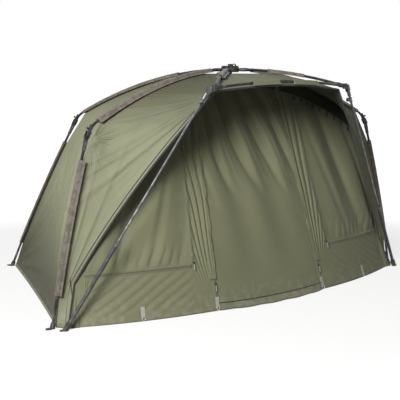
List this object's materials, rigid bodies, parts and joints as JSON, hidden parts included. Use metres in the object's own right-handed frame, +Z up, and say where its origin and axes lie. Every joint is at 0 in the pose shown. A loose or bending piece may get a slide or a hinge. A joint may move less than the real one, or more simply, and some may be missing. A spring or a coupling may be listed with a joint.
{
  "type": "bivvy tent",
  "caption": "Low domed one-person shelter of olive cloth over folding ribs, with storm poles, a raised brow and a zipped front panel.",
  "frame": {"origin": "on the ground below the middle of the tent's overall box", "axes": "+Z up, front panel and brow face -Y, +X to the right when looking along +Y at the front"},
  "size_m": [2.6616, 1.8983, 1.334],
  "materials": {
    "tube": "satin black anodised tube",
    "pole": "satin grey rod",
    "pole_dark": "satin dark grey tube",
    "moulding": "black moulded nylon",
    "webbing": "black woven webbing",
    "webbing_pale": "pale grey woven webbing",
    "sleeve": "taupe woven sleeve",
    "canopy_cloth": "coated olive polyester",
    "panel_cloth": "uncoated olive polyester",
    "zip_metal": "black coated slider"
  },
  "bodies": {
    "cover": {"hub_body": "moulding", "hub_cap": "moulding", "hub_loop": "webbing", "hub_strap": "webbing", "canopy": "canopy_cloth", "infill_left": "panel_cloth", "door": "panel_cloth", "infill_right": "panel_cloth", "peg_tab_door_left": "webbing_pale", "peg_tab_mid_left": "webbing_pale", "peg_tab_door_right": "webbing_pale", "peg_tab_mid_right": "webbing_pale"},
    "arm_front_left": {"rib_front_left": "tube", "rib_sleeve_front_left": "sleeve"},
    "shin_front_left": {"leg_front_left": "tube", "leg_sleeve_front_left": "sleeve", "foot_front_left": "moulding"},
    "lock_front_left": {"lock_button_front_left": "moulding"},
    "arm_front_right": {"rib_front_right": "tube", "rib_sleeve_front_right": "sleeve"},
    "shin_front_right": {"leg_front_right": "tube", "leg_sleeve_front_right": "sleeve", "foot_front_right": "moulding"},
    "lock_front_right": {"lock_button_front_right": "moulding"},
    "arm_rear_left": {"rib_rear_left": "tube", "rib_sleeve_rear_left": "sleeve"},
    "shin_rear_left": {"leg_rear_left": "tube", "leg_sleeve_rear_left": "sleeve", "foot_rear_left": "moulding"},
    "lock_rear_left": {"lock_button_rear_left": "moulding"},
    "arm_rear_right": {"rib_rear_right": "tube", "rib_sleeve_rear_right": "sleeve"},
    "shin_rear_right": {"leg_rear_right": "tube", "leg_sleeve_rear_right": "sleeve", "foot_rear_right": "moulding"},
    "lock_rear_right": {"lock_button_rear_right": "moulding"},
    "brow_left": {"brow_rib_left": "tube", "brow_rib_sleeve_left": "sleeve", "brow_corner_left": "moulding", "brow_bar_left": "tube", "brow_bar_sleeve_left": "sleeve", "brow_joint": "moulding"},
    "pole_left": {"pole_rod_left": "pole"},
    "pole_lower_left": {"pole_tube_left": "pole_dark", "pole_foot_left": "moulding"},
    "thumb_left": {"pole_knob_left": "moulding"},
    "brow_right": {"brow_rib_right": "tube", "brow_rib_sleeve_right": "sleeve", "brow_corner_right": "moulding", "brow_bar_right": "tube", "brow_bar_sleeve_right": "sleeve"},
    "pole_right": {"pole_rod_right": "pole"},
    "pole_lower_right": {"pole_tube_right": "pole_dark", "pole_foot_right": "moulding"},
    "thumb_right": {"pole_knob_right": "moulding"},
    "slider_door_left": {"zip_slider_door_left": "zip_metal"},
    "slider_door_right": {"zip_slider_door_right": "zip_metal"},
    "slider_window_left": {"zip_slider_window_left": "zip_metal"},
    "slider_window_right": {"zip_slider_window_right": "zip_metal"}
  },
  "joints": [
    {"name": "hub_front_left", "type": "hinge", "parent": "cover", "child": "arm_front_left", "pos_m": [-0.03975, -0.46643, 1.3], "axis": [-0.1108, 0.9938, 0], "range_deg": [0, 12.6]},
    {"name": "frame_fold", "type": "hinge", "parent": "arm_front_left", "child": "shin_front_left", "pos_m": [-1.05547, -0.57964, 0.958], "axis": [0.1108, -0.9938, 0], "range_deg": [0, 115], "deforming": ["canopy", "infill_left", "door", "infill_right"]},
    {"name": "lock_front_left", "type": "slide", "parent": "arm_front_left", "child": "lock_front_left", "axis": [-0.848, -0.0945, 0.5215], "range_m": [0, 0.005], "stiffness_N_per_m": 300, "springref_m": -0.004},
    {"name": "hub_front_right", "type": "hinge", "parent": "cover", "child": "arm_front_right", "pos_m": [0.03975, -0.46643, 1.3], "axis": [-0.1108, -0.9938, 0], "range_deg": [0, 12.6]},
    {"name": "knuckle_front_right", "type": "hinge", "parent": "arm_front_right", "child": "shin_front_right", "pos_m": [1.05547, -0.57964, 0.958], "axis": [0.1108, 0.9938, 0], "range_deg": [0, 115.5]},
    {"name": "lock_front_right", "type": "slide", "parent": "arm_front_right", "child": "lock_front_right", "axis": [0.848, -0.0945, 0.5215], "range_m": [0, 0.005], "stiffness_N_per_m": 300, "springref_m": -0.004},
    {"name": "hub_rear_left", "type": "hinge", "parent": "cover", "child": "arm_rear_left", "pos_m": [-0.01893, -0.42676, 1.3], "axis": [0.881, 0.4732, 0], "range_deg": [0, 12.6]},
    {"name": "knuckle_rear_left", "type": "hinge", "parent": "arm_rear_left", "child": "shin_rear_left", "pos_m": [-0.50252, 0.47358, 0.958], "axis": [-0.881, -0.4732, 0], "range_deg": [0, 119.5]},
    {"name": "lock_rear_left", "type": "slide", "parent": "arm_rear_left", "child": "lock_rear_left", "axis": [-0.4038, 0.7517, 0.5215], "range_m": [0, 0.005], "stiffness_N_per_m": 300, "springref_m": -0.004},
    {"name": "hub_rear_right", "type": "hinge", "parent": "cover", "child": "arm_rear_right", "pos_m": [0.01893, -0.42676, 1.3], "axis": [0.881, -0.4732, 0], "range_deg": [0, 12.6]},
    {"name": "knuckle_rear_right", "type": "hinge", "parent": "arm_rear_right", "child": "shin_rear_right", "pos_m": [0.50252, 0.47358, 0.958], "axis": [-0.881, 0.4732, 0], "range_deg": [0, 119.5]},
    {"name": "lock_rear_right", "type": "slide", "parent": "arm_rear_right", "child": "lock_rear_right", "axis": [0.4038, 0.7517, 0.5215], "range_m": [0, 0.005], "stiffness_N_per_m": 300, "springref_m": -0.004},
    {"name": "brow_rise_left", "type": "hinge", "parent": "cover", "child": "brow_left", "pos_m": [-0.02931, -0.48922, 1.3], "axis": [-0.6805, 0.7328, 0], "range_deg": [0, 8.8]},
    {"name": "pole_swing_left", "type": "hinge", "parent": "brow_left", "child": "pole_left", "pos_m": [-0.51486, -0.90939, 1.204], "axis": [0.2929, 0.9562, 0], "range_deg": [0, 53.5]},
    {"name": "pole_slide_left", "type": "slide", "parent": "pole_left", "child": "pole_lower_left", "axis": [0.5203, -0.1593, 0.839], "range_m": [0, 0.38]},
    {"name": "thumb_screw_left", "type": "hinge", "parent": "pole_left", "child": "thumb_left", "pos_m": [-0.56481, -0.89409, 1.12346], "axis": [-0.2929, -0.9562, 0], "range_deg": [0, 180]},
    {"name": "brow_rise_right", "type": "hinge", "parent": "cover", "child": "brow_right", "pos_m": [0.02931, -0.48922, 1.3], "axis": [-0.6805, -0.7328, 0], "range_deg": [0, 8.8]},
    {"name": "pole_swing_right", "type": "hinge", "parent": "brow_right", "child": "pole_right", "pos_m": [0.51486, -0.90939, 1.204], "axis": [0.2929, -0.9562, 0], "range_deg": [0, 53.5]},
    {"name": "pole_slide_right", "type": "slide", "parent": "pole_right", "child": "pole_lower_right", "axis": [-0.5203, -0.1593, 0.839], "range_m": [0, 0.38]},
    {"name": "thumb_screw_right", "type": "hinge", "parent": "pole_right", "child": "thumb_right", "pos_m": [0.56481, -0.89409, 1.12346], "axis": [-0.2929, 0.9562, 0], "range_deg": [0, 180]},
    {"name": "zip_door_left", "type": "slide", "parent": "cover", "child": "slider_door_left", "axis": [-0.0714, -0.2754, -0.9587], "range_m": [-0.9, 0]},
    {"name": "zip_door_right", "type": "slide", "parent": "cover", "child": "slider_door_right", "axis": [0.0714, -0.2754, -0.9587], "range_m": [-0.9, 0]},
    {"name": "zip_window_left", "type": "slide", "parent": "cover", "child": "slider_window_left", "axis": [-0.0852, -0.2642, -0.9607], "range_m": [-0.55, 0]},
    {"name": "zip_window_right", "type": "slide", "parent": "cover", "child": "slider_window_right", "axis": [0.0852, -0.2642, -0.9607], "range_m": [-0.55, 0]}
  ],
  "couplings": [
    {"joint": "hub_front_left", "follows": "frame_fold", "ratio": 0.10696},
    {"joint": "hub_front_right", "follows": "frame_fold", "ratio": 0.10696},
    {"joint": "knuckle_front_right", "follows": "frame_fold", "ratio": 1},
    {"joint": "hub_rear_left", "follows": "frame_fold", "ratio": 0.10696},
    {"joint": "knuckle_rear_left", "follows": "frame_fold", "ratio": 1.0348},
    {"joint": "hub_rear_right", "follows": "frame_fold", "ratio": 0.10696},
    {"joint": "knuckle_rear_right", "follows": "frame_fold", "ratio": 1.0348},
    {"joint": "brow_rise_left", "follows": "frame_fold", "ratio": 0.073913},
    {"joint": "pole_swing_left", "follows": "frame_fold", "ratio": 0.46087},
    {"joint": "brow_rise_right", "follows": "frame_fold", "ratio": 0.073913},
    {"joint": "pole_swing_right", "follows": "frame_fold", "ratio": 0.46087}
  ]
}
